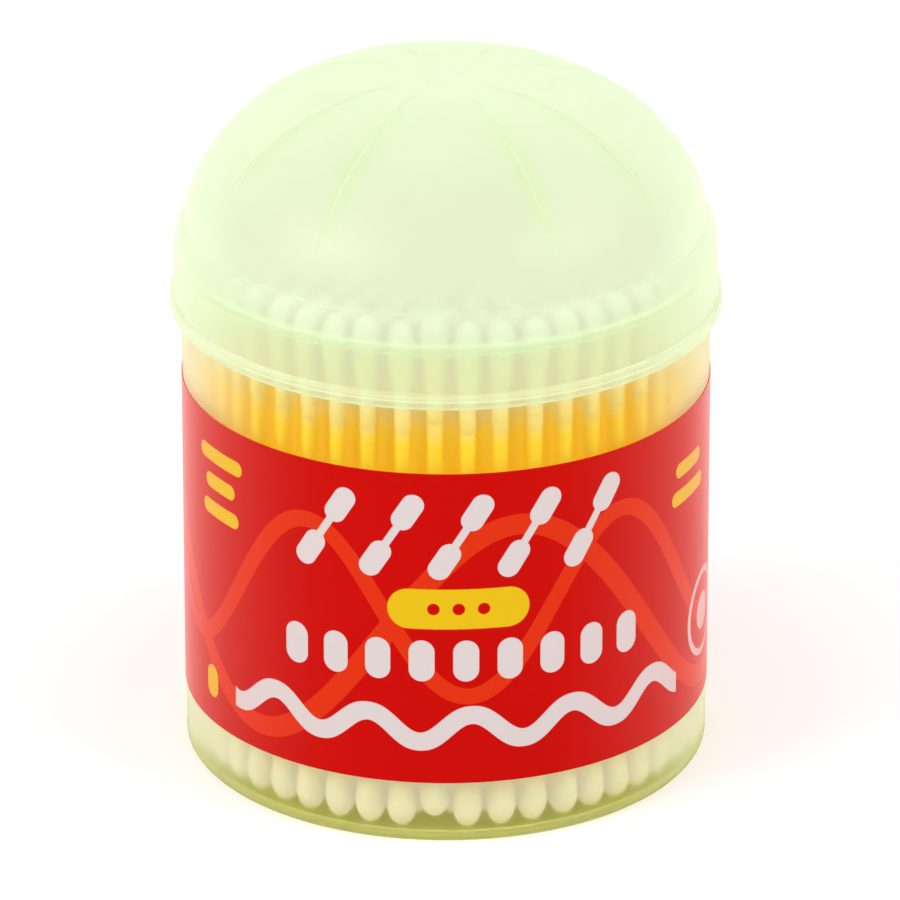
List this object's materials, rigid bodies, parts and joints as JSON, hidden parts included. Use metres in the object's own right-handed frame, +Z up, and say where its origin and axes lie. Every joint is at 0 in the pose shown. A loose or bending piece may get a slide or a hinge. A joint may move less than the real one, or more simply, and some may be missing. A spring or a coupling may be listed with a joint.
{
  "type": "cotton swab tub",
  "caption": "Round clear plastic tub of double-ended cotton swabs with a frosted domed lift-off lid and a wrapped film label.",
  "frame": {"origin": "centre of the base, on the surface that the tub stands on", "axes": "+Z up along the tub's axis; the front of the label faces -Y"},
  "size_m": [0.0754, 0.0752, 0.098],
  "materials": {
    "tub_plastic": "clear moulded plastic with a faint yellow-green tint",
    "lid_plastic": "frosted pale lime plastic, smooth and softly glossy",
    "label_film": "glossy printed film, red with lighter red, white and yellow shapes",
    "stick_plastic": "plain yellow extruded plastic",
    "cotton": "wound cotton wool, matt white"
  },
  "bodies": {
    "tub": {"tub": "tub_plastic", "label": "label_film", "sticks_ring_1": "stick_plastic", "upper_tips_ring_1": "cotton", "lower_tips_ring_1": "cotton", "sticks_ring_2": "stick_plastic", "upper_tips_ring_2": "cotton", "lower_tips_ring_2": "cotton", "sticks_ring_3": "stick_plastic", "upper_tips_ring_3": "cotton", "lower_tips_ring_3": "cotton", "sticks_ring_4": "stick_plastic", "upper_tips_ring_4": "cotton", "lower_tips_ring_4": "cotton", "sticks_ring_5": "stick_plastic", "upper_tips_ring_5": "cotton", "lower_tips_ring_5": "cotton", "sticks_ring_6": "stick_plastic", "upper_tips_ring_6": "cotton", "lower_tips_ring_6": "cotton", "sticks_ring_7": "stick_plastic", "upper_tips_ring_7": "cotton", "lower_tips_ring_7": "cotton", "sticks_ring_8": "stick_plastic", "upper_tips_ring_8": "cotton", "lower_tips_ring_8": "cotton"},
    "lid": {"lid": "lid_plastic"}
  },
  "joints": [
    {"name": "lid_lift", "type": "slide", "parent": "tub", "child": "lid", "axis": [0, 0, 1], "range_m": [0, 0.05]}
  ]
}
